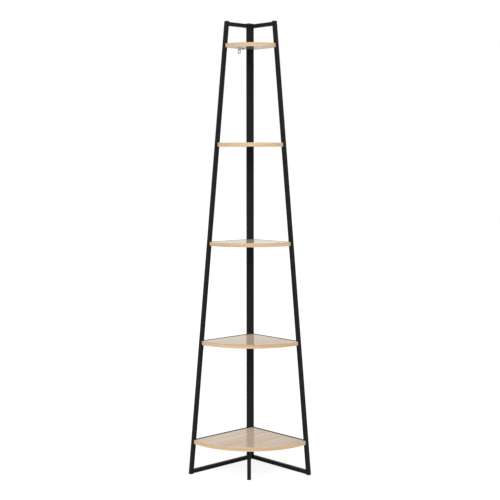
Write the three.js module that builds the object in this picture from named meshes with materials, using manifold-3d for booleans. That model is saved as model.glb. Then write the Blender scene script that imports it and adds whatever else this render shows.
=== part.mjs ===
// Corner shelf unit. Two welded side frames of square tube stand in the planes of two walls and
// carry five quarter-round boards between them; a short leg props the lowest board at its front.
// Millimetres, +Z up, the floor at z = 0. The unit is laid out from the corner of the room, with
// the right wall along +X and the left wall along -Y, and then moved so that the bottom middle of
// the box around it is the origin.

import * as THREE from 'three';
import { mergeVertices } from 'three/addons/utils/BufferGeometryUtils.js';
import Module from 'manifold-3d';

const wasm = await Module();
wasm.setup();

// Whole unit: a slanted post's outer edge is this far from the corner, along its wall.
const overallHeight = 1800;
const reachAtFloor = 346;
const reachAtTop = 149;

// Square tube of the frames and the leg.
const tubeSide = 15;
const tubeWall = 1.2;
const tubeCorner = 1.5;
const weldGap = 0.3; // between a rail's mitred end and the slanted post

// Plastic plugs: a head over the tube's end, a ribbed stem inside it.
const topHead = 4;
const topHeadEase = 1.2;
const footHead = 2;
const footHeadEase = 0.5;
const stemLength = 12;
const stemPlay = 0.25;
const stemRibs = 3;
const stemRibDepth = 0.8;

// Boards, counted from the top. The front edge is an arc between two short straight ends.
const boardCount = 5;
const lowestBoardTop = 136;
const topBayHeight = 90; // from the top board's upper face to the top of the posts' plugs
const boardThickness = 16;
const boardTipInset = 3; // behind the slanted post's outer edge
const lowestEndFlat = 40;
const upperEndFlat = 6;
const bandThickness = 1;
const glueLine = 0.15;

// Wood screws from the shelf rails into the boards' straight edges, heads inside the tube.
const railScrew = { shank: 4, head: 8, headHeight: 2.4, length: 26, tip: 3 };
const accessHole = 9.5; // in the rail's wall-side face, for the head and the driver
const screwPlay = 0.3;
const oneScrewShares = [0.5];
const twoScrewShares = [0.2, 0.8];
const twoScrewBoards = 2; // the lowest boards have two screws a side

// Bolts that join the two back posts, with weld nuts inside the left one.
const postBolt = { shank: 5, head: 9, headHeight: 2.8, length: 11, tip: 0.8 };
const postBoltHeightShares = [0.92, 0.52, 0.16];
const weldNutAcross = 9.2;
const weldNutHeight = 4;

// Front leg: square tube turned to face the room, with a plate that is screwed to the board.
const legSetBack = 24; // its front face, behind the lowest board's front edge on the diagonal
const legPlateSide = 40;
const legPlateCorner = 4;
const legPlateThickness = 2;
const legScrewSpacing = 28;
const legScrew = { shank: 3.5, head: 7, headHeight: 2.2, length: 14, tip: 2.5 };

// Wall bracket under the top board: one leg is screwed to the board, the other hangs along the
// left wall and has an eye for a wall screw.
const bracketReach = 68; // its middle, from the corner along the left wall
const bracketWidth = 17;
const bracketThickness = 1.5;
const bracketBend = 1;
const bracketFlatLeg = 31;
const bracketHangingLeg = 20;
const bracketEye = 8;
const bracketEyeRise = 10; // from the hanging leg's end to the eye's middle
const bracketScrewReach = 23; // from the left wall
const bracketScrew = { shank: 3.5, head: 7.5, headHeight: 2.6, length: 13, tip: 2.5 };

// Steps of the curves, and how far a cutter runs past what it cuts.
const cornerSteps = 2;
const bendSteps = 4;
const roundSteps = 12;
const eyeSteps = 24;
const arcSteps = 14;
const overrun = 1;
const mergeDistance = 1e-4;

const powderCoat = new THREE.MeshStandardMaterial({ color: 0x2c2c2d, roughness: 0.5, metalness: 0.2 });
const blackPlastic = new THREE.MeshStandardMaterial({ color: 0x1b1b1c, roughness: 0.6, metalness: 0 });
const oakBoard = new THREE.MeshStandardMaterial({ color: 0xd2bca4, roughness: 0.4, metalness: 0 });
const oakBand = new THREE.MeshStandardMaterial({ color: 0xdcb98f, roughness: 0.5, metalness: 0 });
const zincSteel = new THREE.MeshStandardMaterial({ color: 0xb4b6b8, roughness: 0.4, metalness: 0.9 });
const blackScrew = new THREE.MeshStandardMaterial({ color: 0x202022, roughness: 0.4, metalness: 0.6 });
const zincScrew = new THREE.MeshStandardMaterial({ color: 0xa9abad, roughness: 0.4, metalness: 0.9 });

// Levels and slopes that follow from the sizes above.
const steelBottom = footHead;
const steelTop = overallHeight - topHead;
const lean = (reachAtFloor - reachAtTop) / overallHeight;
const leanStretch = Math.hypot(1, lean); // widens the slanted tube's level section
const slantedWidth = tubeSide * leanStretch;
const tubeBore = tubeSide - 2 * tubeWall;

const reachAt = (z) => reachAtFloor - lean * z;

const boardPitch = (overallHeight - topBayHeight - lowestBoardTop) / (boardCount - 1);
const boards = Array.from({ length: boardCount }, (_, index) => {
  const top = lowestBoardTop + (boardCount - 1 - index) * boardPitch;
  const lowest = index === boardCount - 1;
  return {
    number: index + 1,
    top,
    bottom: top - boardThickness,
    edge: reachAt(top) - boardTipInset - tubeSide, // length of a straight edge
    endFlat: lowest ? lowestEndFlat : upperEndFlat,
    screwShares: index >= boardCount - twoScrewBoards ? twoScrewShares : oneScrewShares,
  };
});
const topBoard = boards[0];
const lowestBoard = boards[boardCount - 1];

// Solids

function toSolid(geometry) {
  const bare = geometry.clone();
  bare.deleteAttribute('normal');
  bare.deleteAttribute('uv');
  const merged = mergeVertices(bare, mergeDistance);
  return new wasm.Manifold(new wasm.Mesh({
    numProp: 3,
    vertProperties: Float32Array.from(merged.getAttribute('position').array),
    triVerts: Uint32Array.from(merged.index.array),
  }));
}

function toGeometry(solid) {
  const { vertProperties, triVerts } = solid.getMesh();
  const indexed = new THREE.BufferGeometry();
  indexed.setAttribute('position', new THREE.BufferAttribute(Float32Array.from(vertProperties), 3));
  indexed.setIndex(new THREE.BufferAttribute(Uint32Array.from(triVerts), 1));
  const geometry = indexed.toNonIndexed();
  geometry.computeVertexNormals();
  return geometry;
}

const cutBy = (geometry, cutters) =>
  cutters.reduce((solid, cutter) => solid.subtract(toSolid(cutter)), toSolid(geometry));

function roundedRectangle(width, depth, corner) {
  const x = width / 2 - corner;
  const y = depth / 2 - corner;
  const quarter = Math.PI / 2;
  const outline = new THREE.Shape();
  outline.absarc(x, y, corner, 0, quarter);
  outline.absarc(-x, y, corner, quarter, 2 * quarter);
  outline.absarc(-x, -y, corner, 2 * quarter, 3 * quarter);
  outline.absarc(x, -y, corner, 3 * quarter, 4 * quarter);
  return outline;
}

const extrude = (outline, depth, steps) =>
  new THREE.ExtrudeGeometry(outline, { depth, bevelEnabled: false, curveSegments: steps });

// An upright hollow tube that stands on z = 0, around the Z axis.
function tube(length) {
  const section = roundedRectangle(tubeSide, tubeSide, tubeCorner);
  section.holes.push(roundedRectangle(tubeBore, tubeBore, tubeCorner - tubeWall));
  return extrude(section, length, cornerSteps);
}

// A level rail along +X from x = 0, its far end mitred to a post that leans back by `lean`.
function rail(length, height) {
  const geometry = tube(length).rotateY(Math.PI / 2);
  const position = geometry.getAttribute('position');
  for (let i = 0; i < position.count; i++) {
    if (position.getX(i) > length / 2) position.setX(i, position.getX(i) - lean * position.getZ(i));
  }
  return geometry.translate(0, 0, height);
}

// A closed body through level rounded rectangles, listed from the bottom up.
function stack(levels) {
  const positions = [];
  const faces = [];
  const ringSize = 4 * (cornerSteps + 1);
  levels.forEach(({ z, side, corner }, level) => {
    for (let point = 0; point < ringSize; point++) {
      const quarter = Math.floor(point / (cornerSteps + 1));
      const step = point % (cornerSteps + 1);
      const angle = (quarter + step / cornerSteps) * Math.PI / 2;
      const x = (quarter === 0 || quarter === 3 ? 1 : -1) * (side / 2 - corner);
      const y = (quarter < 2 ? 1 : -1) * (side / 2 - corner);
      positions.push(x + corner * Math.cos(angle), y + corner * Math.sin(angle), z);
      if (level === 0) continue;
      const next = (point + 1) % ringSize;
      const above = level * ringSize;
      const below = above - ringSize;
      faces.push(below + point, below + next, above + next, below + point, above + next, above + point);
    }
  });
  const last = (levels.length - 1) * ringSize;
  for (let point = 1; point < ringSize - 1; point++) {
    faces.push(0, point + 1, point, last, last + point, last + point + 1);
  }
  const geometry = new THREE.BufferGeometry();
  geometry.setAttribute('position', new THREE.Float32BufferAttribute(positions, 3));
  geometry.setIndex(faces);
  return geometry;
}

// A plug for a tube's end at z = 0: the head above it, the ribbed stem below it.
function plug(head, ease) {
  const stemSide = tubeBore - 2 * stemPlay;
  const coreSide = stemSide - 2 * stemRibDepth;
  const pitch = stemLength / stemRibs;
  const levels = [];
  for (let rib = 0; rib < stemRibs; rib++) {
    const z = rib * pitch - stemLength;
    levels.push({ z, side: coreSide, corner: stemRibDepth });
    levels.push({ z: z + pitch / 2, side: stemSide, corner: stemRibDepth });
    levels.push({ z: z + pitch / 2, side: coreSide, corner: stemRibDepth });
  }
  levels.push({ z: 0, side: coreSide, corner: stemRibDepth });
  levels.push({ z: 0, side: tubeSide, corner: tubeCorner });
  levels.push({ z: head - ease, side: tubeSide, corner: tubeCorner });
  levels.push({ z: head - ease / 4, side: tubeSide - ease, corner: tubeCorner });
  levels.push({ z: head, side: tubeSide - 2 * ease, corner: tubeCorner });
  return stack(levels);
}

const topPlug = () => plug(topHead, topHeadEase);
const footPlug = () => plug(footHead, footHeadEase).rotateX(Math.PI);

// Makes an upright piece lean with the slanted posts about its own z = 0.
function slant(geometry) {
  geometry.scale(leanStretch, 1, 1);
  return geometry.applyMatrix4(new THREE.Matrix4().makeShear(0, 0, 0, 0, -lean, 0));
}

// A screw along Y: the under-side of its head is y = 0, the head is above, the point below.
function screw({ shank, head, headHeight, length, tip }) {
  const profile = [
    [0, -length], [shank / 4, -length], [shank / 2, tip - length], [shank / 2, 0],
    [head / 2, 0], [head / 2, headHeight / 3], [head / 3, headHeight * 0.9], [0, headHeight],
  ];
  return new THREE.LatheGeometry(profile.map(([r, y]) => new THREE.Vector2(r, y)), roundSteps);
}

// A round cutter along Y from y = 0 down to -depth.
const drill = (diameter, depth, steps = roundSteps) =>
  new THREE.CylinderGeometry(diameter / 2, diameter / 2, depth, steps).translate(0, -depth / 2, 0);

// Scene graph

const unit = new THREE.Group();

function add(parent, name, geometry, material) {
  const mesh = new THREE.Mesh(geometry, material);
  mesh.name = name;
  parent.add(mesh);
  return mesh;
}

// Side frames

// In a frame's own axes x runs along the wall from the corner and y = 0 is the tubes' middle.
// The wall is at y = wallSide * tubeSide / 2.
const frames = [
  { side: 'right', wallSide: 1, postStart: 0 },
  { side: 'left', wallSide: -1, postStart: tubeSide },
];
for (const frame of frames) {
  const onLeftWall = frame.wallSide < 0;
  frame.group = new THREE.Group();
  frame.group.position.set(onLeftWall ? tubeSide / 2 : 0, onLeftWall ? 0 : -tubeSide / 2, 0);
  frame.group.rotation.z = onLeftWall ? -Math.PI / 2 : 0;
  unit.add(frame.group);
}

// Turns a piece that is made along +Y or -Y so that its +Y side points at the frame's wall.
const facingWall = (geometry, { wallSide }) => (wallSide < 0 ? geometry.rotateZ(Math.PI) : geometry);

// From the frame's middle plane to the inner face of the tube wall on the room's side.
const seatDepth = tubeBore / 2;

// The clearance hole through the room-side wall and the access hole through the wall-side one.
function screwHoles(frame, x, z, shank) {
  const through = drill(shank + 2 * screwPlay, tubeSide);
  const access = drill(accessHole, tubeSide).translate(0, tubeSide, 0);
  return [through, access].map((hole) => facingWall(hole, frame).translate(x, 0, z));
}

// A screw seated in a tube, its head against the room-side wall.
const seated = (size, frame, x, z) =>
  facingWall(screw(size).translate(0, -seatDepth, 0), frame).translate(x, 0, z);

const postBoltHeights = postBoltHeightShares.map((share) => share * overallHeight);

function backPost(frame) {
  const x = frame.postStart + tubeSide / 2;
  const post = tube(steelTop - steelBottom).translate(x, 0, steelBottom);
  if (frame.side === 'right') {
    const holes = postBoltHeights.flatMap((z) => screwHoles(frame, x, z, postBolt.shank));
    return toGeometry(cutBy(post, holes));
  }
  // The left post's bolted face looks at the corner, along its frame's -X.
  let solid = toSolid(post);
  for (const z of postBoltHeights) {
    const height = weldNutHeight + tubeWall / 2;
    const nut = new THREE.CylinderGeometry(weldNutAcross / 2, weldNutAcross / 2, height, 6);
    const middle = frame.postStart + tubeWall / 2 + height / 2;
    solid = solid.add(toSolid(nut.rotateZ(Math.PI / 2).translate(middle, 0, z)));
  }
  for (const z of postBoltHeights) {
    const depth = tubeWall + weldNutHeight + 2 * overrun;
    const hole = drill(postBolt.shank + 2 * screwPlay, depth).rotateZ(Math.PI / 2);
    solid = solid.subtract(toSolid(hole.translate(frame.postStart - overrun, 0, z)));
  }
  return toGeometry(solid);
}

for (const frame of frames) {
  const { side, group, postStart } = frame;
  const post = { x: postStart + tubeSide / 2 };
  const railStart = postStart + tubeSide;
  const railLength = (z) => reachAt(z) - slantedWidth - weldGap - railStart;
  const frontPostX = (z) => reachAt(z) - slantedWidth / 2;

  add(group, `${side}_back_post`, backPost(frame), powderCoat);
  add(group, `${side}_front_post`,
    slant(tube(steelTop - steelBottom)).translate(frontPostX(steelBottom), 0, steelBottom), powderCoat);

  const topZ = steelTop - tubeSide / 2;
  const bottomZ = steelBottom + tubeSide / 2;
  const railAt = (z) => rail(railLength(z), z).translate(railStart, 0, 0);
  add(group, `${side}_top_rail`, railAt(topZ), powderCoat);
  add(group, `${side}_bottom_rail`, railAt(bottomZ), powderCoat);

  for (const board of boards) {
    const z = board.top - tubeSide / 2;
    const screwPlaces = board.screwShares.map((share) => tubeSide + share * board.edge);
    const holes = screwPlaces.flatMap((x) => screwHoles(frame, x, z, railScrew.shank));
    add(group, `${side}_shelf_rail_${board.number}`, toGeometry(cutBy(railAt(z), holes)), powderCoat);
    screwPlaces.forEach((x, index) => {
      const name = `${side}_shelf_screw_${board.number}_${index + 1}`;
      add(group, name, seated(railScrew, frame, x, z), zincScrew);
    });
  }

  add(group, `${side}_back_post_top_plug`, topPlug().translate(post.x, 0, steelTop), blackPlastic);
  add(group, `${side}_back_post_foot_plug`, footPlug().translate(post.x, 0, steelBottom), blackPlastic);
  add(group, `${side}_front_post_top_plug`,
    slant(topPlug()).translate(frontPostX(steelTop), 0, steelTop), blackPlastic);
  add(group, `${side}_front_post_foot_plug`,
    slant(footPlug()).translate(frontPostX(steelBottom), 0, steelBottom), blackPlastic);
}

const [rightFrame] = frames;
postBoltHeights.forEach((z, index) => {
  add(rightFrame.group, `post_bolt_${index + 1}`,
    seated(postBolt, rightFrame, tubeSide / 2, z), zincScrew);
});

// Boards

// A board's outline in plan from its square corner, its front set back from the full size.
function boardOutline({ edge, endFlat }, setBack) {
  const reach = edge - setBack;
  const outline = new THREE.Shape();
  outline.moveTo(0, 0);
  outline.lineTo(0, -reach);
  outline.lineTo(endFlat, -reach);
  outline.absarc(endFlat, -endFlat, reach - endFlat, -Math.PI / 2, 0);
  outline.lineTo(reach, 0);
  return outline;
}

// The edge band: the strip between the full outline and the outline less the band's thickness.
function bandOutline({ edge, endFlat }) {
  const inner = edge - bandThickness;
  const outline = new THREE.Shape();
  outline.moveTo(0, -inner);
  outline.lineTo(0, -edge);
  outline.lineTo(endFlat, -edge);
  outline.absarc(endFlat, -endFlat, edge - endFlat, -Math.PI / 2, 0);
  outline.lineTo(edge, 0);
  outline.lineTo(inner, 0);
  outline.lineTo(inner, -endFlat);
  outline.absarc(endFlat, -endFlat, inner - endFlat, 0, -Math.PI / 2, true);
  return outline;
}

// Pilot holes for the rail screws, in a board's own axes: its square corner is the origin and
// its top is z = 0.
function pilotHoles(board) {
  const size = railScrew.shank + 2 * screwPlay;
  const depth = railScrew.length + screwPlay - tubeWall + overrun;
  return board.screwShares.flatMap((share) => {
    const along = share * board.edge;
    const fromRight = drill(size, depth).translate(along, overrun, -tubeSide / 2);
    const fromLeft = drill(size, depth).rotateZ(Math.PI / 2).translate(-overrun, -along, -tubeSide / 2);
    return [fromRight, fromLeft];
  });
}

// A pilot hole upwards from a board's under-side at a place in plan, in the board's own axes.
function pilotFromBelow(size, thicknessBelow, x, y) {
  const depth = size.length - thicknessBelow + screwPlay + overrun;
  return drill(size.shank + 2 * screwPlay, depth).rotateX(-Math.PI / 2)
    .translate(x, y, -boardThickness - overrun);
}

// The front leg's middle in plan, and its two screws to either side of it.
const { edge: lowestEdge, endFlat: lowestFlat } = lowestBoard;
const frontReach = (tubeSide + lowestFlat) * Math.SQRT2 + lowestEdge - lowestFlat;
const legMiddle = (frontReach - legSetBack - tubeSide / 2) / Math.SQRT2;
const legScrewPlaces = [-1, 1].map((way) => {
  const aside = way * legScrewSpacing / 2 / Math.SQRT2;
  return { x: legMiddle + aside, y: aside - legMiddle };
});

for (const board of boards) {
  const cutters = pilotHoles(board);
  if (board === lowestBoard) {
    legScrewPlaces.forEach(({ x, y }) => {
      cutters.push(pilotFromBelow(legScrew, legPlateThickness, x - tubeSide, y + tubeSide));
    });
  }
  if (board === topBoard) {
    cutters.push(pilotFromBelow(bracketScrew, bracketThickness, bracketScrewReach - tubeSide,
      tubeSide - bracketReach));
  }
  const panel = extrude(boardOutline(board, bandThickness + glueLine), boardThickness, arcSteps)
    .translate(0, 0, -boardThickness);
  add(unit, `shelf_board_${board.number}`, toGeometry(cutBy(panel, cutters)), oakBoard)
    .position.set(tubeSide, -tubeSide, board.top);
  add(unit, `edge_band_${board.number}`, extrude(bandOutline(board), boardThickness, arcSteps), oakBand)
    .position.set(tubeSide, -tubeSide, board.bottom);
}

// Front leg

const legTop = lowestBoard.bottom - legPlateThickness;
const leg = new THREE.Group();
leg.position.set(legMiddle, -legMiddle, 0);
leg.rotation.z = -Math.PI / 4;
unit.add(leg);

add(leg, 'front_leg', tube(legTop - steelBottom).translate(0, 0, steelBottom), powderCoat);
add(leg, 'front_leg_foot_plug', footPlug().translate(0, 0, steelBottom), blackPlastic);

const legPlate = roundedRectangle(legPlateSide, legPlateSide, legPlateCorner);
for (const way of [-1, 1]) {
  const hole = new THREE.Path();
  hole.absarc(0, way * legScrewSpacing / 2, legScrew.shank / 2 + screwPlay, 0, 2 * Math.PI);
  legPlate.holes.push(hole);
}
add(leg, 'front_leg_plate',
  extrude(legPlate, legPlateThickness, bendSteps).translate(0, 0, legTop), powderCoat);
[-1, 1].forEach((way, index) => {
  add(leg, `front_leg_screw_${index + 1}`,
    screw(legScrew).rotateX(-Math.PI / 2).translate(0, way * legScrewSpacing / 2, legTop), blackScrew);
});

// Wall bracket

// Made in its own axes: x = 0 is the wall, y = 0 its middle, z = 0 the board's under-side.
function wallBracket() {
  const outerBend = bracketBend + bracketThickness;
  const quarter = Math.PI / 2;
  const profile = new THREE.Shape();
  profile.moveTo(0, -bracketHangingLeg);
  profile.lineTo(bracketThickness, -bracketHangingLeg);
  profile.lineTo(bracketThickness, -outerBend);
  profile.absarc(outerBend, -outerBend, bracketBend, 2 * quarter, quarter, true);
  profile.lineTo(bracketFlatLeg, -bracketThickness);
  profile.lineTo(bracketFlatLeg, 0);
  profile.lineTo(outerBend, 0);
  profile.absarc(outerBend, -outerBend, outerBend, quarter, 2 * quarter);
  const strip = extrude(profile, bracketWidth, bendSteps)
    .rotateX(quarter).translate(0, bracketWidth / 2, 0);

  // Each leg's end is round: the strip is kept only where these two outlines, seen from above
  // and from the room, both cover it.
  const roundEnd = (length) => {
    const end = bracketWidth / 2;
    const outline = new THREE.Shape();
    outline.moveTo(-overrun, end);
    outline.lineTo(-overrun, -end);
    outline.lineTo(length - end, -end);
    outline.absarc(length - end, 0, end, -quarter, quarter);
    return extrude(outline, bracketHangingLeg + bracketFlatLeg, eyeSteps / 2);
  };
  const fromAbove = roundEnd(bracketFlatLeg).translate(0, 0, -bracketHangingLeg - overrun);
  const fromRoom = roundEnd(bracketHangingLeg).rotateY(quarter).translate(-overrun, 0, 0);

  const eye = drill(bracketEye, bracketThickness + 2 * overrun, eyeSteps).rotateZ(quarter)
    .translate(-overrun, 0, bracketEyeRise - bracketHangingLeg);
  const hole = drill(bracketScrew.shank + 2 * screwPlay, bracketThickness + 2 * overrun)
    .rotateX(quarter).translate(bracketScrewReach, 0, overrun);
  return toGeometry(toSolid(strip)
    .intersect(toSolid(fromAbove))
    .intersect(toSolid(fromRoom))
    .subtract(toSolid(eye))
    .subtract(toSolid(hole)));
}

const bracket = new THREE.Group();
bracket.position.set(0, -bracketReach, topBoard.bottom);
unit.add(bracket);
add(bracket, 'wall_bracket', wallBracket(), zincSteel);
const bracketFixing = screw(bracketScrew).rotateX(-Math.PI / 2);
add(bracket, 'wall_bracket_screw',
  bracketFixing.translate(bracketScrewReach, 0, -bracketThickness), blackScrew);

const middle = new THREE.Box3().setFromObject(unit).getCenter(new THREE.Vector3());
unit.position.set(-middle.x, -middle.y, 0);

export default unit;
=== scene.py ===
import math

import bmesh
import bpy
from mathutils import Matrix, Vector


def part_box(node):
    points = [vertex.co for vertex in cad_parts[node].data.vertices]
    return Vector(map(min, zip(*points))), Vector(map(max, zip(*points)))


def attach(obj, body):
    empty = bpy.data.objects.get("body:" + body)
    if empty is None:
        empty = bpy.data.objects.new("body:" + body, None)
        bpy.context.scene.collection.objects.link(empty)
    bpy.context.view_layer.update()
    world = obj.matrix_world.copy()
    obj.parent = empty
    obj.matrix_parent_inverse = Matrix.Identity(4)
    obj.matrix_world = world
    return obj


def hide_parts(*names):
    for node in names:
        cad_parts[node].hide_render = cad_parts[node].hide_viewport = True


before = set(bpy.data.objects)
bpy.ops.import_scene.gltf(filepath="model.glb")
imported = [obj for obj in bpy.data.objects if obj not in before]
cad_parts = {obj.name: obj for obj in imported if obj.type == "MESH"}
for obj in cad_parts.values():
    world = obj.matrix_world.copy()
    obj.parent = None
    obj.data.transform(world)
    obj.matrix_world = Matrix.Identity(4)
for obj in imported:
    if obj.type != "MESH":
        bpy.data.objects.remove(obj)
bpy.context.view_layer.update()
scene = bpy.context.scene
scene.view_settings.view_transform = "Standard"

# The room: a pale floor under a white surround, lit by two broad lamps. The unit is seen from
# four and a half metres out of the room corner, a little to the right of the diagonal, at chest
# height and looking slightly down.
room_corner = Vector((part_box("right_back_post")[0].x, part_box("right_back_post")[1].y, 0))
out_of_corner = Vector((1, -1, 0)).normalized()
along_front = Vector((1, 1, 0)).normalized()
camera_distance = 4.5394
camera_height = 1.2432
camera_swing = 0.0310
camera_turn = 0.0324
camera_tilt = 0.0806
camera_roll = -0.0006
camera_data = bpy.data.cameras.new("camera")
camera_data.sensor_width = 36
camera_data.lens = 79.18
camera = bpy.data.objects.new("camera", camera_data)
scene.collection.objects.link(camera)
camera.location = (room_corner + Vector((0, 0, camera_height))
                   + camera_distance * math.cos(camera_swing) * out_of_corner
                   + camera_distance * math.sin(camera_swing) * along_front)
camera.rotation_euler = (math.pi / 2 - camera_tilt, 0, math.pi / 4 + camera_turn)
camera.rotation_euler.rotate_axis("Z", camera_roll)
scene.camera = camera


def feed(node, links):
    """Links a node's inputs to the outputs of others, or gives them a plain value."""
    for socket, value in links.items():
        if isinstance(value, bpy.types.NodeSocket):
            node.id_data.links.new(value, node.inputs[socket])
        else:
            node.inputs[socket].default_value = value


def wired(tree, kind, links=None, **settings):
    """A new node in a tree, with its properties set and its inputs fed."""
    node = tree.nodes.new(kind)
    for setting, value in settings.items():
        setattr(node, setting, value)
    feed(node, links or {})
    return node


def add_math(tree, operation, *values):
    """What a sum on up to three outputs or plain numbers comes to."""
    return wired(tree, "ShaderNodeMath", dict(enumerate(values)), operation=operation).outputs[0]


def new_material(name):
    """A material whose tree holds only a Principled shader and its output."""
    material = bpy.data.materials.new(name)
    material.use_nodes = True
    tree = material.node_tree
    tree.nodes.clear()
    shader = wired(tree, "ShaderNodeBsdfPrincipled")
    wired(tree, "ShaderNodeOutputMaterial", {"Surface": shader.outputs["BSDF"]})
    return material, tree, shader


def background_rays(tree):
    """1 for the rays that see the surround, from the camera, in a reflection or through glass,
    and 1 for those in a reflection alone."""
    rays = wired(tree, "ShaderNodeLightPath").outputs
    direct = add_math(tree, "MAXIMUM", rays["Is Camera Ray"], rays["Is Transmission Ray"])
    return add_math(tree, "MAXIMUM", direct, rays["Is Glossy Ray"]), rays["Is Glossy Ray"]


soft_light = 0.44
white_surround = 1.0
world = bpy.data.worlds.new("surround")
scene.world = world
world.use_nodes = True
world_tree = world.node_tree
world_tree.nodes.clear()
seen, _ = background_rays(world_tree)
glows = [wired(world_tree, "ShaderNodeBackground", {"Color": (1, 1, 1, 1), "Strength": strength})
         for strength in (soft_light, white_surround)]
surround = wired(world_tree, "ShaderNodeMixShader",
                 {"Fac": seen, 1: glows[0].outputs[0], 2: glows[1].outputs[0]})
wired(world_tree, "ShaderNodeOutputWorld", {"Surface": surround.outputs[0]})

floor_half = 15.0
floor_level = -0.0002
floor_grey = 0.26
floor_glow = 0.85
dimmed_in_reflection = -0.1
floor_mesh = bpy.data.meshes.new("floor")
floor_mesh.from_pydata([(floor_half * x, floor_half * y, floor_level)
                        for x, y in ((-1, -1), (1, -1), (1, 1), (-1, 1))], [], [(0, 1, 2, 3)])
floor = bpy.data.objects.new("floor", floor_mesh)
scene.collection.objects.link(floor)
floor_material, floor_tree, floor_shader = new_material("pale floor")
seen, reflected = background_rays(floor_tree)
glow = add_math(floor_tree, "MULTIPLY", seen, floor_glow)
# In a reflection the floor near the unit is darker than the surround.
glow = add_math(floor_tree, "MULTIPLY_ADD", reflected, dimmed_in_reflection, glow)
feed(floor_shader, {"Base Color": (floor_grey, floor_grey, floor_grey, 1), "Roughness": 1.0,
                    "Specular IOR Level": 0.0, "Emission Color": (1, 1, 1, 1),
                    "Emission Strength": glow})
floor_mesh.materials.append(floor_material)


def soft_sun(name, strength, spread, turn, height):
    """A broad lamp from `turn` degrees to the left of the camera and `height` above the floor."""
    data = bpy.data.lights.new(name, "SUN")
    data.energy = strength
    data.angle = math.radians(spread)
    lamp = bpy.data.objects.new(name, data)
    lamp.rotation_euler = (math.radians(90 - height), 0, math.radians(45 - turn))
    scene.collection.objects.link(lamp)


soft_sun("key light", strength=1.60, spread=50, turn=26, height=40)
soft_sun("fill light", strength=1.25, spread=54, turn=-32, height=38)


# Side frames: two flat frames of 15 mm square steel tube, one against each wall, each a plumb
# back post and a front post that leans back, with seven rails between them. Powder coat, a black
# paint baked to a fine pebbled skin, covers the tubes, the welds and the leg's plate.
sides = ("right", "left")
levels = (1, 2, 3, 4, 5)
rails = [f"{side}_{rail}" for side in sides
         for rail in ("top_rail", "bottom_rail", *(f"shelf_rail_{level}" for level in levels))]
posts = [f"{side}_{post}" for side in sides for post in ("back_post", "front_post")]


def shader_group(name, inputs, outputs):
    """An empty shader node group with (name, kind, value) inputs and (name, kind) outputs."""
    group = bpy.data.node_groups.new(name, "ShaderNodeTree")
    for label, kind, value in inputs:
        socket = group.interface.new_socket(name=label, in_out="INPUT", socket_type=kind)
        socket.default_value = value
    for label, kind in outputs:
        group.interface.new_socket(name=label, in_out="OUTPUT", socket_type=kind)
    return group, wired(group, "NodeGroupInput").outputs, wired(group, "NodeGroupOutput")


def add_noise(tree, vector, scale, detail=3.0, rough=0.5, distortion=0.0):
    """Soft noise from 0 to 1."""
    return wired(tree, "ShaderNodeTexNoise",
                 {"Vector": vector, "Scale": scale, "Detail": detail, "Roughness": rough,
                  "Distortion": distortion}).outputs["Fac"]


def add_mix(tree, share, first, second):
    """A colour that goes from the first to the second as the share goes from 0 to 1."""
    return wired(tree, "ShaderNodeMix", {0: share, 6: first, 7: second}, data_type="RGBA").outputs[2]


def stretched(tree, vector, scale):
    """A vector with each of its three parts multiplied."""
    return wired(tree, "ShaderNodeMapping", {"Vector": vector, "Scale": scale}).outputs["Vector"]


def object_coordinates(tree):
    """The place of a point on the unit, in metres."""
    return wired(tree, "ShaderNodeTexCoord").outputs["Object"]


# Fine pebbling that a moulded, painted or plated skin has: a bump and a spread of roughness.
pebble_height = 0.0002
mottles_a_metre = 22.0
pebble, pebble_in, pebble_out = shader_group(
    "pebbled skin",
    [("Vector", "NodeSocketVector", (0, 0, 0)), ("Grain", "NodeSocketFloat", 900.0),
     ("Depth", "NodeSocketFloat", 0.3), ("Roughness", "NodeSocketFloat", 0.5),
     ("Spread", "NodeSocketFloat", 0.08)],
    [("Roughness", "NodeSocketFloat"), ("Normal", "NodeSocketVector"), ("Mottle", "NodeSocketFloat")])
fine = add_noise(pebble, pebble_in["Vector"], pebble_in["Grain"], detail=4, rough=0.6)
broad = add_noise(pebble, pebble_in["Vector"], mottles_a_metre, detail=2)
uneven = [add_math(pebble, "MULTIPLY", add_math(pebble, "SUBTRACT", noise, 0.5), pebble_in["Spread"])
          for noise in (broad, fine)]
bump = wired(pebble, "ShaderNodeBump",
             {"Distance": pebble_height, "Strength": pebble_in["Depth"], "Height": fine})
rough = add_math(pebble, "ADD", pebble_in["Roughness"], add_math(pebble, "ADD", *uneven))
feed(pebble_out, {"Roughness": rough, "Normal": bump.outputs["Normal"], "Mottle": broad})


def pebbled_material(name, dark, light, grain, depth, roughness, gloss, metallic=0.0):
    """Paint, plastic or plating with a pebbled skin, mottled between two near colours."""
    material, tree, shader = new_material(name)
    skin = wired(tree, "ShaderNodeGroup",
                 {"Vector": object_coordinates(tree), "Grain": grain, "Depth": depth,
                  "Roughness": roughness}, node_tree=pebble).outputs
    feed(shader, {"Base Color": add_mix(tree, skin["Mottle"], (*dark, 1), (*light, 1)),
                  "Roughness": skin["Roughness"], "Normal": skin["Normal"],
                  "Specular IOR Level": gloss, "Metallic": metallic})
    return material


def finished(name, mesh, material=None):
    """Links a mesh as a piece of the unit, which moves with its one body."""
    piece = bpy.data.objects.new(name, mesh)
    scene.collection.objects.link(piece)
    if material:
        mesh.materials.append(material)
    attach(piece, "root")
    return piece


def shade_round(mesh, sharpest):
    """Smooth shading, broken where two faces meet at more than `sharpest` degrees."""
    mesh.shade_smooth()
    mesh.set_sharp_from_angle(angle=math.radians(sharpest))


def keep_flats_flat(piece):
    """Shades a piece by its large faces, so that its flats look flat up to their eased edges."""
    flats = piece.modifiers.new("flat faces", "WEIGHTED_NORMAL")
    flats.keep_sharp = True


merge_distance = 2e-6
flat_angle = math.radians(1)
edge_angle = math.radians(60)


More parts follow.
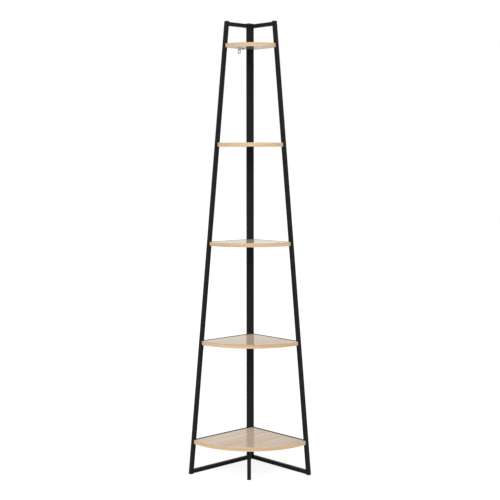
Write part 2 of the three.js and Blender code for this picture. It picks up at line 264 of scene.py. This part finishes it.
def cut_to_size(name, node, material, ease=0.0):
    """A piece with the exact shape of a CAD node: whole flat faces, smooth round corners and,
    where `ease` is given, sharp edges broken by that much."""
    work = bmesh.new()
    work.from_mesh(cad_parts[node].data)
    bmesh.ops.remove_doubles(work, verts=work.verts, dist=merge_distance)
    bmesh.ops.dissolve_limit(work, angle_limit=flat_angle, verts=work.verts, edges=work.edges)
    if ease:
        sharp = [edge for edge in work.edges
                 if edge.is_manifold and edge.calc_face_angle() > edge_angle]
        bmesh.ops.bevel(work, geom=sharp, offset=ease, segments=2, affect="EDGES", profile=0.5,
                        clamp_overlap=True)
    mesh = bpy.data.meshes.new(name)
    work.to_mesh(mesh)
    work.free()
    shade_round(mesh, sharpest=55)
    piece = finished(name, mesh, material)
    keep_flats_flat(piece)
    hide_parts(node)
    return piece


powder_coat = pebbled_material("black powder coat", dark=(0.0132, 0.0132, 0.0135),
                               light=(0.0180, 0.0180, 0.0184), grain=950, depth=0.35,
                               roughness=0.42, gloss=0.06)
for node in (*posts, *rails):
    cut_to_size(f"{node}_tube", node, powder_coat)


# Welds: every rail is welded to both its posts before painting. A bead shows above and below
# the rail, and on the flush faces the weld is ground down to a faint line.
tube_side = 0.015
tube_corner = 0.0015
weld_inset = 0.0003
bead_radius = 0.0013
ground_radius = 0.00036
ripple_length = 0.0016
ripple_share = 0.1
bead_step = 0.0005
# How far in from the rail's faces a bead starts to thin, and how far in it is whole or ground.
top_blend = (0.0002, 0.0008)
side_blend = (0.0012, 0.0026)


def geometry_tree(name, inputs):
    """An empty Geometry Nodes tree with Geometry and the (name, kind, value) inputs after it."""
    tree = bpy.data.node_groups.new(name, "GeometryNodeTree")
    tree.interface.new_socket(name="Geometry", in_out="INPUT", socket_type="NodeSocketGeometry")
    for label, kind, value in inputs:
        socket = tree.interface.new_socket(name=label, in_out="INPUT", socket_type=kind)
        if value is not None:
            socket.default_value = value
    tree.interface.new_socket(name="Geometry", in_out="OUTPUT", socket_type="NodeSocketGeometry")
    return tree, wired(tree, "NodeGroupInput").outputs, wired(tree, "NodeGroupOutput")


def end_tree(tree, geometry, material, tree_out):
    """Closes a tree with real geometry in its material."""
    real = wired(tree, "GeometryNodeRealizeInstances", {"Geometry": geometry})
    painted = wired(tree, "GeometryNodeSetMaterial",
                    {"Geometry": real.outputs[0], "Material": material})
    feed(tree_out, {"Geometry": painted.outputs[0]})


def grown(name, base, tree, values):
    """Runs a Geometry Nodes tree on a base mesh and gives back the result as a plain mesh."""
    seed = bpy.data.objects.new(name + " base", base)
    scene.collection.objects.link(seed)
    modifier = seed.modifiers.new("grow", "NODES")
    modifier.node_group = tree
    for item in tree.interface.items_tree:
        if item.in_out == "INPUT" and item.name in values:
            modifier[item.identifier] = values[item.name]
    bpy.context.view_layer.update()
    evaluated = seed.evaluated_get(bpy.context.evaluated_depsgraph_get())
    mesh = bpy.data.meshes.new_from_object(evaluated)
    mesh.name = name
    mesh.materials.clear()
    mesh.materials.append(values["Material"])
    mesh.polygons.foreach_set("material_index", [0] * len(mesh.polygons))
    seed.modifiers.remove(modifier)
    bpy.data.objects.remove(seed)
    return mesh


def marked_points(places):
    """A mesh of loose points from (place, the way it faces, the way that is up for it)."""
    mesh = bpy.data.meshes.new("places")
    mesh.from_pydata([place for place, _, _ in places], [], [])
    for label, index in (("facing", 1), ("rise", 2)):
        ways = mesh.attributes.new(label, "FLOAT_VECTOR", "POINT")
        for item, place in zip(ways.data, places):
            item.vector = place[index]
    return mesh


def set_at_points(tree, points, instance):
    """Puts an instance on each marked point, its Z the way it faces, its Y the way that is up."""
    facing, rise = [wired(tree, "GeometryNodeInputNamedAttribute", {"Name": label},
                          data_type="FLOAT_VECTOR").outputs["Attribute"]
                    for label in ("facing", "rise")]
    turn = wired(tree, "FunctionNodeAxesToRotation", {"Primary Axis": facing, "Secondary Axis": rise},
                 primary_axis="Z", secondary_axis="Y")
    placed = wired(tree, "GeometryNodeInstanceOnPoints",
                   {"Points": points, "Instance": instance, "Rotation": turn.outputs["Rotation"]})
    return placed.outputs["Instances"]


def add_range(tree, value, low, high, to_low=0.0, to_high=1.0):
    """A value taken from the range low to high over to another one, and held at its ends."""
    return wired(tree, "ShaderNodeMapRange",
                 {"Value": value, "From Min": low, "From Max": high, "To Min": to_low,
                  "To Max": to_high}).outputs["Result"]


def times(tree, first, second):
    """The product of two outputs or plain numbers."""
    return add_math(tree, "MULTIPLY", first, second)


def minus(tree, first, second):
    """The difference of two outputs or plain numbers."""
    return add_math(tree, "SUBTRACT", first, second)


weld_tree, weld_in, weld_out = geometry_tree("weld bead", [
    ("Width", "NodeSocketFloat", tube_side), ("Height", "NodeSocketFloat", tube_side),
    ("Corner", "NodeSocketFloat", tube_corner), ("Bead", "NodeSocketFloat", bead_radius),
    ("Ground Bead", "NodeSocketFloat", ground_radius), ("Ripple", "NodeSocketFloat", ripple_length),
    ("Material", "NodeSocketMaterial", None)])
loop = wired(weld_tree, "GeometryNodeCurvePrimitiveQuadrilateral",
             {"Width": weld_in["Width"], "Height": weld_in["Height"]})
loop = wired(weld_tree, "GeometryNodeFilletCurve",
             {"Curve": loop.outputs[0], "Count": 3, "Radius": weld_in["Corner"]}, mode="POLY")
loop = wired(weld_tree, "GeometryNodeResampleCurve", {"Curve": loop.outputs[0], "Length": bead_step},
             mode="LENGTH")
spot = wired(weld_tree, "ShaderNodeSeparateXYZ",
             {"Vector": wired(weld_tree, "GeometryNodeInputPosition").outputs[0]}).outputs
# The bead is whole above and below the rail, and thins down to the ground line at its sides.
below_top = minus(weld_tree, times(weld_tree, weld_in["Height"], 0.5),
                  add_math(weld_tree, "ABSOLUTE", spot["Y"]))
within_sides = minus(weld_tree, times(weld_tree, weld_in["Width"], 0.5),
                     add_math(weld_tree, "ABSOLUTE", spot["X"]))
proud = times(weld_tree, add_range(weld_tree, below_top, *top_blend, to_low=1.0, to_high=0.0),
              add_range(weld_tree, within_sides, *side_blend))
along = wired(weld_tree, "GeometryNodeSplineParameter").outputs["Length"]
ripple = times(weld_tree, add_math(weld_tree, "DIVIDE", along, weld_in["Ripple"]), 2 * math.pi)
ripple = add_math(weld_tree, "MULTIPLY_ADD", add_math(weld_tree, "SINE", ripple), ripple_share, 1.0)
thickness = minus(weld_tree, weld_in["Bead"], weld_in["Ground Bead"])
thickness = add_math(weld_tree, "MULTIPLY_ADD", thickness, proud, weld_in["Ground Bead"])
ring = wired(weld_tree, "GeometryNodeCurvePrimitiveCircle", {"Resolution": 8, "Radius": 1.0})
bead = wired(weld_tree, "GeometryNodeCurveToMesh",
             {"Curve": loop.outputs[0], "Profile Curve": ring.outputs["Curve"],
              "Scale": times(weld_tree, thickness, ripple)})
end_tree(weld_tree, set_at_points(weld_tree, weld_in["Geometry"], bead.outputs["Mesh"]),
         weld_in["Material"], weld_out)

reach_at_floor = 0.346
post_lean = 0.197 / 1.8
lean_angle = math.atan(post_lean)
front_weld_gap = 0.0003
upwards = Vector((0, 0, 1))
away_from_corner = {"right": Vector((1, 0, 0)), "left": Vector((0, -1, 0))}
joints = []
for node in rails:
    low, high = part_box(node)
    middle = (low + high) / 2
    way = away_from_corner[node.split("_")[0]]
    half_length = abs((high - low).dot(way)) / 2
    joints.append((middle - way * half_length, way, upwards))
    front_end = middle + way * (half_length + (front_weld_gap - post_lean * tube_side) / 2)
    joints.append((front_end, way * math.cos(lean_angle) + upwards * math.sin(lean_angle),
                   upwards * math.cos(lean_angle) - way * math.sin(lean_angle)))
mesh = grown("rail_welds", marked_points(joints), weld_tree,
             {"Width": tube_side - 2 * weld_inset, "Height": tube_side, "Corner": tube_corner,
              "Bead": bead_radius, "Ground Bead": ground_radius, "Ripple": ripple_length,
              "Material": powder_coat})
mesh.shade_smooth()
finished("rail_welds", mesh)


# Plugs: moulded black plastic, pushed into the tube ends on ribbed stems. The top ones have a low
# domed head; the foot ones carry the unit, so their soles are flat.
black_plastic = pebbled_material("moulded black plastic", dark=(0.012, 0.012, 0.012),
                                 light=(0.016, 0.016, 0.016), grain=1400, depth=0.2,
                                 roughness=0.52, gloss=0.3)
plug_stem = 0.012
plug_ribs = 3
plug_core = 0.0104
plug_core_corner = 0.0008
plug_rib = 0.0121
rib_profile = ((0, plug_core), (0.45, plug_rib), (0.55, plug_rib), (0.6, plug_core))
ease_steps = 6
crown_shares = (0.8, 0.6, 0.4, 0.2)
corner_steps = 6


def plug_levels(head, ease, crown):
    """(height, side, corner) of the rounded squares a plug is drawn through, its stem below 0."""
    pitch = plug_stem / plug_ribs
    drawn = [(rib * pitch - plug_stem + pitch * share, side, plug_core_corner)
             for rib in range(plug_ribs) for share, side in rib_profile]
    drawn += [(0, plug_core, plug_core_corner), (0, tube_side, tube_corner)]
    rim = head - crown
    for step in range(ease_steps + 1):
        angle = math.pi / 2 * step / ease_steps
        inward = ease * (1 - math.cos(angle))
        drawn.append((rim - ease * (1 - math.sin(angle)), tube_side - 2 * inward, tube_corner))
    flat = tube_side - 2 * ease
    for share in crown_shares:
        drawn.append((rim + crown * (1 - share * share), flat * share, tube_corner * share))
    return drawn


def plug_piece(node, place, way, lean, upright, drawn):
    """A plug at a tube's end, sheared with its post. `way` leads from the room corner."""
    across = Vector((-way.y, way.x, 0))
    work = bmesh.new()
    rings = []
    for height, side, corner in drawn:
        ring = []
        for quarter in range(4):
            for step in range(corner_steps + 1):
                angle = math.pi / 2 * (quarter + step / corner_steps)
                x = (1 if quarter in (0, 3) else -1) * (side / 2 - corner) + corner * math.cos(angle)
                y = (1 if quarter < 2 else -1) * (side / 2 - corner) + corner * math.sin(angle)
                z = height * upright
                sheared = way * (x * math.hypot(1, lean) - lean * z) + across * y
                ring.append(work.verts.new(place + sheared + upwards * z))
        if rings:
            for i in range(len(ring)):
                after = (i + 1) % len(ring)
                work.faces.new((rings[-1][i], rings[-1][after], ring[after], ring[i]))
        rings.append(ring)
    work.faces.new(rings[0])
    work.faces.new(rings[-1])
    bmesh.ops.recalc_face_normals(work, faces=work.faces)
    mesh = bpy.data.meshes.new(node)
    work.to_mesh(mesh)
    work.free()
    shade_round(mesh, sharpest=40)
    piece = finished(f"{node}_moulding", mesh, black_plastic)
    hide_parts(node)


top_plug = plug_levels(head=0.004, ease=0.0012, crown=0.0004)
foot_plug = plug_levels(head=0.002, ease=0.0005, crown=0.0)
for side in sides:
    way = away_from_corner[side]
    for post, lean in (("back", 0.0), ("front", post_lean)):
        low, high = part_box(f"{side}_{post}_post")
        for end, z, upright, drawn in (("top", high.z, 1, top_plug), ("foot", low.z, -1, foot_plug)):
            place = (low + high) / 2
            if post == "front":
                reach = reach_at_floor - lean * z - tube_side * math.hypot(1, lean) / 2
                place += way * (reach - (place - room_corner).dot(way))
            place.z = z
            plug_piece(f"{side}_{post}_post_{end}_plug", place, way, lean, upright, drawn)


# Screws: zinc-plated pan heads with a cross recess. One or two go through each shelf rail into
# the board's edge, and three bolts hold the two back posts together.
into_wall = {"right": Vector((0, 1, 0)), "left": Vector((-1, 0, 0))}
board_screw = {"Head": 0.008, "Head Height": 0.0024, "Shank": 0.004, "Length": 0.026,
               "Point": 0.003, "Pitch": 0.0017, "Recess": 0.0044}
post_bolt = {"Head": 0.009, "Head Height": 0.0028, "Shank": 0.005, "Length": 0.011,
             "Point": 0.0008, "Pitch": 0.0008, "Recess": 0.005}
head_segments = 28
rod_sides = 18
steps_a_turn = 16
wedge_top = 0.8
wedge_bottom = 0.3
# Each of these is a share of the size that its name ends with.
core_of_shank = 0.4
ridge_of_shank = 0.1
point_of_core = 0.2
thread_of_straight = 0.94
slot_of_recess = 0.24
slot_depth_of_head = 0.7
slot_middle_of_head = 0.35
above_middle_ring_of_length = -0.25
above_last_ring_of_length = -0.75


def size_vector(tree, x, y, z):
    """A vector from three outputs or plain numbers."""
    return wired(tree, "ShaderNodeCombineXYZ", {"X": x, "Y": y, "Z": z}).outputs[0]


def moved(tree, geometry, **how):
    """Geometry that is scaled, turned or shifted."""
    return wired(tree, "GeometryNodeTransform", {"Geometry": geometry, **how}).outputs[0]


screw_tree, screw_in, screw_out = geometry_tree("recessed screw", [
    ("Head", "NodeSocketFloat", 0.008), ("Head Height", "NodeSocketFloat", 0.0024),
    ("Shank", "NodeSocketFloat", 0.004), ("Length", "NodeSocketFloat", 0.026),
    ("Point", "NodeSocketFloat", 0.003), ("Pitch", "NodeSocketFloat", 0.0016),
    ("Recess", "NodeSocketFloat", 0.0042), ("Material", "NodeSocketMaterial", None)])
head_height, length, recess = screw_in["Head Height"], screw_in["Length"], screw_in["Recess"]
spot = wired(screw_tree, "ShaderNodeSeparateXYZ",
             {"Vector": wired(screw_tree, "GeometryNodeInputPosition").outputs[0]}).outputs
ball = wired(screw_tree, "GeometryNodeMeshUVSphere",
             {"Segments": head_segments, "Rings": head_segments // 2, "Radius": 0.5})
dome = moved(screw_tree, ball.outputs[0], Scale=size_vector(
    screw_tree, screw_in["Head"], screw_in["Head"], times(screw_tree, head_height, 2)))
flat_under = size_vector(screw_tree, spot["X"], spot["Y"],
                         add_math(screw_tree, "MAXIMUM", spot["Z"], 0.0))
dome = wired(screw_tree, "GeometryNodeSetPosition", {"Geometry": dome, "Position": flat_under})
# The recess: two wedges across each other, wider at the top than at the bottom.
slots = wired(screw_tree, "GeometryNodeJoinGeometry")
slot_width = times(screw_tree, recess, slot_of_recess)
slot_depth = times(screw_tree, head_height, slot_depth_of_head)
slot_place = size_vector(screw_tree, 0.0, 0.0, times(screw_tree, head_height, slot_middle_of_head))
for x, y in ((recess, slot_width), (slot_width, recess)):
    wedge = wired(screw_tree, "GeometryNodeMeshCone",
                  {"Vertices": 4, "Radius Top": wedge_top, "Radius Bottom": wedge_bottom,
                   "Depth": 1.0})
    wedge = moved(screw_tree, wedge.outputs[0], Rotation=(0, 0, math.pi / 4))
    wedge = moved(screw_tree, wedge, Scale=size_vector(screw_tree, x, y, slot_depth),
                  Translation=slot_place)
    feed(slots, {0: wedge})
head = wired(screw_tree, "GeometryNodeMeshBoolean",
             {"Mesh 1": dome.outputs[0], "Mesh 2": slots.outputs[0], "Self Intersection": True},
             solver="EXACT")
straight = minus(screw_tree, length, screw_in["Point"])
down_straight = times(screw_tree, straight, -1.0)
core = times(screw_tree, screw_in["Shank"], core_of_shank)
rod = wired(screw_tree, "GeometryNodeMeshCylinder",
            {"Vertices": rod_sides, "Side Segments": 2, "Radius": core, "Depth": length})
rod = moved(screw_tree, rod.outputs[0],
            Translation=size_vector(screw_tree, 0.0, 0.0, times(screw_tree, length, -0.5)))
# The rod's last ring draws in to the point, and its middle ring goes down to where that begins.
down_it = add_math(screw_tree, "DIVIDE", spot["Z"], length)
at_point = add_math(screw_tree, "LESS_THAN", down_it, above_last_ring_of_length)
below_head = add_math(screw_tree, "LESS_THAN", down_it, above_middle_ring_of_length)
at_neck = minus(screw_tree, below_head, at_point)
rod = wired(screw_tree, "GeometryNodeSetPosition",
            {"Geometry": rod, "Selection": at_point, "Position": size_vector(
                screw_tree, times(screw_tree, spot["X"], point_of_core),
                times(screw_tree, spot["Y"], point_of_core), spot["Z"])})
rod = wired(screw_tree, "GeometryNodeSetPosition",
            {"Geometry": rod.outputs[0], "Selection": at_neck,
             "Position": size_vector(screw_tree, spot["X"], spot["Y"], down_straight)})
turns = add_math(screw_tree, "DIVIDE", straight, screw_in["Pitch"])
coil = wired(screw_tree, "GeometryNodeCurveSpiral",
             {"Resolution": steps_a_turn, "Rotations": turns, "Start Radius": core,
              "End Radius": core, "Height": times(screw_tree, straight, thread_of_straight)})
ridge = wired(screw_tree, "GeometryNodeCurvePrimitiveCircle",
              {"Resolution": 3, "Radius": times(screw_tree, screw_in["Shank"], ridge_of_shank)})
thread = wired(screw_tree, "GeometryNodeCurveToMesh",
               {"Curve": coil.outputs[0], "Profile Curve": ridge.outputs["Curve"], "Fill Caps": True})
thread = moved(screw_tree, thread.outputs[0],
               Translation=size_vector(screw_tree, 0.0, 0.0, down_straight))
whole = wired(screw_tree, "GeometryNodeJoinGeometry")
for made in (head.outputs["Mesh"], rod.outputs[0], thread):
    feed(whole, {0: made})
end_tree(screw_tree, set_at_points(screw_tree, screw_in["Geometry"], whole.outputs[0]),
         screw_in["Material"], screw_out)


def driven_screws(name, nodes, facing, rise, sizes, material):
    """One piece for like screws. `facing` gives the way a node's head looks."""
    places = []
    for node in nodes:
        low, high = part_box(node)
        middle, half = (low + high) / 2, (high - low) / 2
        way = facing(node)
        reach = abs(half.dot(way)) - sizes["Head Height"]
        places.append((middle + way * reach, way, rise))
    mesh = grown(name, marked_points(places), screw_tree, {**sizes, "Material": material})
    shade_round(mesh, sharpest=35)
    piece = finished(name, mesh)
    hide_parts(*nodes)


zinc = pebbled_material("zinc plate", dark=(0.55, 0.56, 0.58), light=(0.68, 0.69, 0.71), grain=300,
                        depth=0.1, roughness=0.34, gloss=0.5, metallic=1.0)
driven_screws("shelf_screws", sorted(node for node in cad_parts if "shelf_screw" in node),
              lambda node: into_wall[node.split("_")[0]], upwards, board_screw, zinc)
driven_screws("post_bolts", [f"post_bolt_{number}" for number in (1, 2, 3)],
              lambda node: into_wall["right"], upwards, post_bolt, zinc)


# Boards: 16 mm faced particle board, a quarter round with its two straight edges against the
# rails. The face is a pale oak print under satin lacquer, its grain along the left-hand edge.
board_ease = 0.00025
facing_wall = 0.9
arc_steps = 72
# The straight run at each tip of a board's front, before its arc begins.
front_flats = {1: 0.006, 2: 0.006, 3: 0.006, 4: 0.006, 5: 0.040}
lacquer_ior = 1.22
rougher_in_pores = 0.2
plank_share = 0.45
tone_range = (0.36, 0.64)
fibre_range = (0.35, 0.7)
fibre_shade = 0.32
pore_range = (0.62, 0.72)
pore_shade = 0.35
pore_height = 0.0001
oak, oak_in, oak_out = shader_group(
    "oak print",
    [("Vector", "NodeSocketVector", (0, 0, 0)), ("Dark", "NodeSocketColor", (0.3, 0.2, 0.12, 1)),
     ("Middle", "NodeSocketColor", (0.4, 0.3, 0.2, 1)),
     ("Light", "NodeSocketColor", (0.5, 0.4, 0.3, 1)), ("Pore Depth", "NodeSocketFloat", 0.2)],
    [("Color", "NodeSocketColor"), ("Pores", "NodeSocketFloat"), ("Normal", "NodeSocketVector")])


def figure(across, along, **look):
    """Noise of so many waves a metre across the grain, the vector's X, and along it, its Y."""
    return add_noise(oak, stretched(oak, oak_in["Vector"], (across, along, across)), 1.0, **look)


plank = figure(9, 1.1, detail=2.0, distortion=0.6)
streak = figure(70, 2.6, detail=4.0, rough=0.62, distortion=0.9)
fibre = figure(420, 11, rough=0.6)
pores = add_range(oak, figure(1500, 60, detail=1.0), *pore_range)
tone = add_math(oak, "ADD", times(oak, plank, plank_share), times(oak, streak, 1 - plank_share))
tone = add_range(oak, tone, *tone_range)
colour = oak_in["Dark"]
for share, towards in ((add_range(oak, tone, 0.0, 0.5), "Middle"),
                       (add_range(oak, tone, 0.5, 1.0), "Light"),
                       (add_range(oak, fibre, *fibre_range, to_high=fibre_shade), "Dark"),
                       (times(oak, pores, pore_shade), "Dark")):
    colour = add_mix(oak, share, colour, oak_in[towards])
sunken = wired(oak, "ShaderNodeBump",
               {"Distance": pore_height, "Strength": oak_in["Pore Depth"], "Height": pores},
               invert=True)
feed(oak_out, {"Color": colour, "Pores": pores, "Normal": sunken.outputs["Normal"]})


def oak_material(name, dark, middle, light, roughness, pore_depth, vector_of=object_coordinates):
    """The oak print in three colours, under lacquer. `vector_of` gives where the print lies."""
    material, tree, shader = new_material(name)
    grain = wired(tree, "ShaderNodeGroup",
                  {"Vector": vector_of(tree), "Dark": (*dark, 1), "Middle": (*middle, 1),
                   "Light": (*light, 1), "Pore Depth": pore_depth}, node_tree=oak).outputs
    rough = add_range(tree, grain["Pores"], 0.0, 1.0, roughness, roughness + rougher_in_pores)
    feed(shader, {"Base Color": grain["Color"], "Roughness": rough, "Normal": grain["Normal"],
                  "IOR": lacquer_ior})
    return material


board_face = oak_material("oak face", dark=(0.445, 0.321, 0.225), middle=(0.597, 0.459, 0.339),
                          light=(0.68, 0.548, 0.417), roughness=0.13, pore_depth=0.15)

# The cut edges behind the rails show the core: pressed wood chips.
chips_a_metre = 520
chips_pressed = (1, 1, 1.8)
chip_dark = (0.34, 0.22, 0.12)
chip_light = (0.62, 0.46, 0.3)
chip_height = 0.0003
chip_depth = 0.6
chip_roughness = (0.7, 0.95)
chip_core, chip_tree, chip_shader = new_material("particle board core")
chips = wired(chip_tree, "ShaderNodeTexVoronoi",
              {"Vector": stretched(chip_tree, object_coordinates(chip_tree), chips_pressed),
               "Scale": chips_a_metre}).outputs["Distance"]
chip_bump = wired(chip_tree, "ShaderNodeBump",
                  {"Distance": chip_height, "Strength": chip_depth, "Height": chips})
feed(chip_shader, {"Base Color": add_mix(chip_tree, chips, (*chip_dark, 1), (*chip_light, 1)),
                   "Roughness": add_range(chip_tree, chips, 0, 1, *chip_roughness),
                   "Normal": chip_bump.outputs["Normal"]})


def front_outline(reach, flat, inset):
    """Points of a board's front, from the right-hand tip round to the left-hand one, about its
    square corner. `inset` is how far inside the full outline it runs."""
    radius = reach - flat - inset
    points = [(reach - inset, 0)]
    for step in range(arc_steps + 1):
        angle = math.pi / 2 * step / arc_steps
        points.append((flat + radius * math.cos(angle), -flat - radius * math.sin(angle)))
    points.append((0, inset - reach))
    return points


for level in levels:
    low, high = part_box(f"edge_band_{level}")
    setback = high.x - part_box(f"shelf_board_{level}")[1].x
    work = bmesh.new()
    outline = [(0, 0), *front_outline(high.x - low.x, front_flats[level], setback)]
    sole = work.faces.new([work.verts.new((low.x + x, high.y + y, low.z)) for x, y in outline])
    raised = bmesh.ops.extrude_face_region(work, geom=[sole], use_keep_orig=True)
    bmesh.ops.translate(work, vec=(0, 0, high.z - low.z),
                        verts=[v for v in raised["geom"] if isinstance(v, bmesh.types.BMVert)])
    bmesh.ops.recalc_face_normals(work, faces=work.faces)
    rim = [edge for edge in work.edges
           if abs(edge.verts[0].co.z - edge.verts[1].co.z) < merge_distance]
    bmesh.ops.bevel(work, geom=rim, offset=board_ease, segments=2, affect="EDGES", profile=0.5)
    for face in work.faces:
        cut_edge = face.normal.y > facing_wall or face.normal.x < -facing_wall
        face.material_index = 1 if cut_edge else 0
    mesh = bpy.data.meshes.new(f"board_{level}")
    work.to_mesh(mesh)
    work.free()
    shade_round(mesh, sharpest=35)
    board = finished(f"board_{level}", mesh, board_face)
    keep_flats_flat(board)
    mesh.materials.append(chip_core)
    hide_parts(f"shelf_board_{level}")


# Edge bands: a 1 mm strip of oak-print plastic, warmer than the faces, glued round the front of
# each board, its long edges rounded over. The lengths are cut from several places on the roll,
# picked so that each band's print tone stands in for the light on its level: painted light.
band_thickness = 0.001
band_round = 0.00042
# Where each band's print starts on the roll: picked so that its tone stands in for the light falling
# on that band, painted light over a print that varies at random.
print_start_for_painted_light = {1: 11.9, 2: 4.7, 3: 11.9, 4: 11.9, 5: 9.3}
band_tree, band_in, band_out = geometry_tree("edge band", [
    ("Thickness", "NodeSocketFloat", band_thickness), ("Height", "NodeSocketFloat", 0.016),
    ("Round", "NodeSocketFloat", band_round), ("Print Start", "NodeSocketFloat", 0.0),
    ("Material", "NodeSocketMaterial", None)])
path = wired(band_tree, "GeometryNodeMeshToCurve", {"Mesh": band_in["Geometry"]})
along = wired(band_tree, "GeometryNodeSplineParameter").outputs["Length"]
path = wired(band_tree, "GeometryNodeStoreNamedAttribute",
             {"Geometry": path.outputs["Curve"], "Name": "along",
              "Value": add_math(band_tree, "ADD", along, band_in["Print Start"])},
             data_type="FLOAT", domain="POINT")
path = wired(band_tree, "GeometryNodeSetCurveNormal", {"Curve": path.outputs["Geometry"]},
             mode="Z_UP")
section = wired(band_tree, "GeometryNodeCurvePrimitiveQuadrilateral",
                {"Width": band_in["Thickness"], "Height": band_in["Height"]})
section = wired(band_tree, "GeometryNodeFilletCurve",
                {"Curve": section.outputs["Curve"], "Count": 3, "Radius": band_in["Round"]},
                mode="POLY")
swept = wired(band_tree, "GeometryNodeCurveToMesh",
              {"Curve": path.outputs["Curve"], "Profile Curve": section.outputs["Curve"],
               "Fill Caps": True})
end_tree(band_tree, swept.outputs["Mesh"], band_in["Material"], band_out)


def along_band(tree):
    """The print's place on a band: its height across the grain, and the way along the band."""
    height = wired(tree, "ShaderNodeSeparateXYZ", {"Vector": object_coordinates(tree)}).outputs["Z"]
    way = wired(tree, "ShaderNodeAttribute", attribute_name="along", attribute_type="GEOMETRY")
    return size_vector(tree, height, way.outputs["Fac"], 0.0)


band_print = oak_material("oak edge band", dark=(0.645, 0.435, 0.25), middle=(0.81, 0.595, 0.375),
                          light=(0.90, 0.69, 0.46), roughness=0.32, pore_depth=0.1,
                          vector_of=along_band)
for level in levels:
    low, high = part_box(f"edge_band_{level}")
    middle = (low.z + high.z) / 2
    line = [(low.x + x, high.y + y, middle)
            for x, y in front_outline(high.x - low.x, front_flats[level], band_thickness / 2)]
    base = bpy.data.meshes.new("band path")
    base.from_pydata(line, [(i, i + 1) for i in range(len(line) - 1)], [])
    mesh = grown(f"band_{level}", base, band_tree,
                 {"Thickness": band_thickness, "Height": high.z - low.z, "Round": band_round,
                  "Print Start": print_start_for_painted_light[level], "Material": band_print})
    shade_round(mesh, sharpest=40)
    band = finished(f"band_{level}", mesh)
    keep_flats_flat(band)
    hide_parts(f"edge_band_{level}")


# Front leg: a length of the same tube, welded to a small plate that two screws hold under the
# lowest board, on its middle line. It has the same foot plug as the posts.
plate_ease = 0.0003
leg_screw = {"Head": 0.007, "Head Height": 0.0022, "Shank": 0.0035, "Length": 0.014,
             "Point": 0.0025, "Pitch": 0.0014, "Recess": 0.0038}
cut_to_size("front_leg_tube", "front_leg", powder_coat)
cut_to_size("front_leg_top_plate", "front_leg_plate", powder_coat, plate_ease)
low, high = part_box("front_leg")
leg_top = (low + high) / 2
leg_top.z = high.z
mesh = grown("leg_weld", marked_points([(leg_top, upwards, along_front)]), weld_tree,
             {"Width": tube_side, "Height": tube_side, "Corner": tube_corner, "Bead": bead_radius,
              "Ground Bead": bead_radius, "Ripple": ripple_length, "Material": powder_coat})
mesh.shade_smooth()
finished("leg_weld", mesh)
leg_foot = leg_top.copy()
leg_foot.z = low.z
plug_piece("front_leg_foot_plug", leg_foot, out_of_corner, 0.0, -1, foot_plug)
black_oxide = pebbled_material("black oxide screw", dark=(0.008, 0.008, 0.009),
                               light=(0.012, 0.012, 0.013), grain=900, depth=0.15,
                               roughness=0.4, gloss=0.15)
driven_screws("front_leg_screws", ["front_leg_screw_1", "front_leg_screw_2"], lambda node: -upwards,
              along_front, leg_screw, black_oxide)


# Wall bracket: a strip of zinc-plated steel, bent down at the wall and pierced for a wall screw,
# under the top board beside the left frame. One black screw holds it.
strip_ease = 0.0002
bracket_screw = {"Head": 0.0075, "Head Height": 0.0026, "Shank": 0.0035, "Length": 0.013,
                 "Point": 0.0025, "Pitch": 0.0014, "Recess": 0.004}
cut_to_size("wall_bracket_strip", "wall_bracket", zinc, strip_ease)
driven_screws("wall_bracket_fixing", ["wall_bracket_screw"], lambda node: -upwards, along_front,
              bracket_screw, black_oxide)
